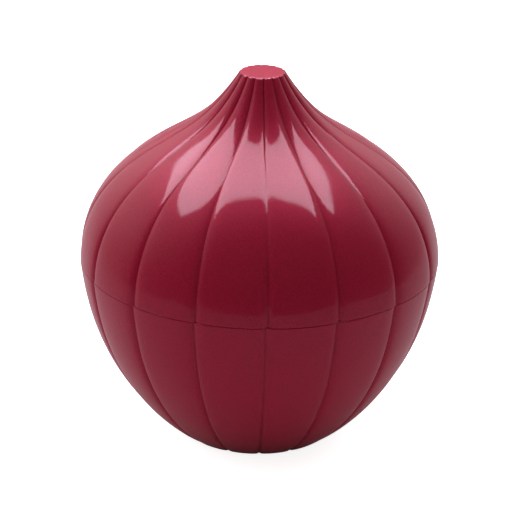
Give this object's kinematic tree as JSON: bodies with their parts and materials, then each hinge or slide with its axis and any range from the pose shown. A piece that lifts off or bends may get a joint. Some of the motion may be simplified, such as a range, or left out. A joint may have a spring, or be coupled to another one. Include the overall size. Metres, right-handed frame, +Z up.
{
  "type": "onion keeper",
  "caption": "Round onion-shaped storage keeper with a deep lobed bowl and a domed lid that rises to a fluted neck and lifts straight off.",
  "frame": {"origin": "middle of the flat foot that the keeper stands on", "axes": "+Z up through the middle of the lid's neck, -Y towards the viewer of the reference picture"},
  "size_m": [0.116, 0.116, 0.1216],
  "materials": {
    "plum_plastic": "gloss"
  },
  "bodies": {
    "bowl": {"bowl": "plum_plastic"},
    "lid": {"lid": "plum_plastic"}
  },
  "joints": [
    {"name": "lid_lift", "type": "slide", "parent": "bowl", "child": "lid", "axis": [0, 0, 1], "range_m": [0, 0.08]}
  ]
}
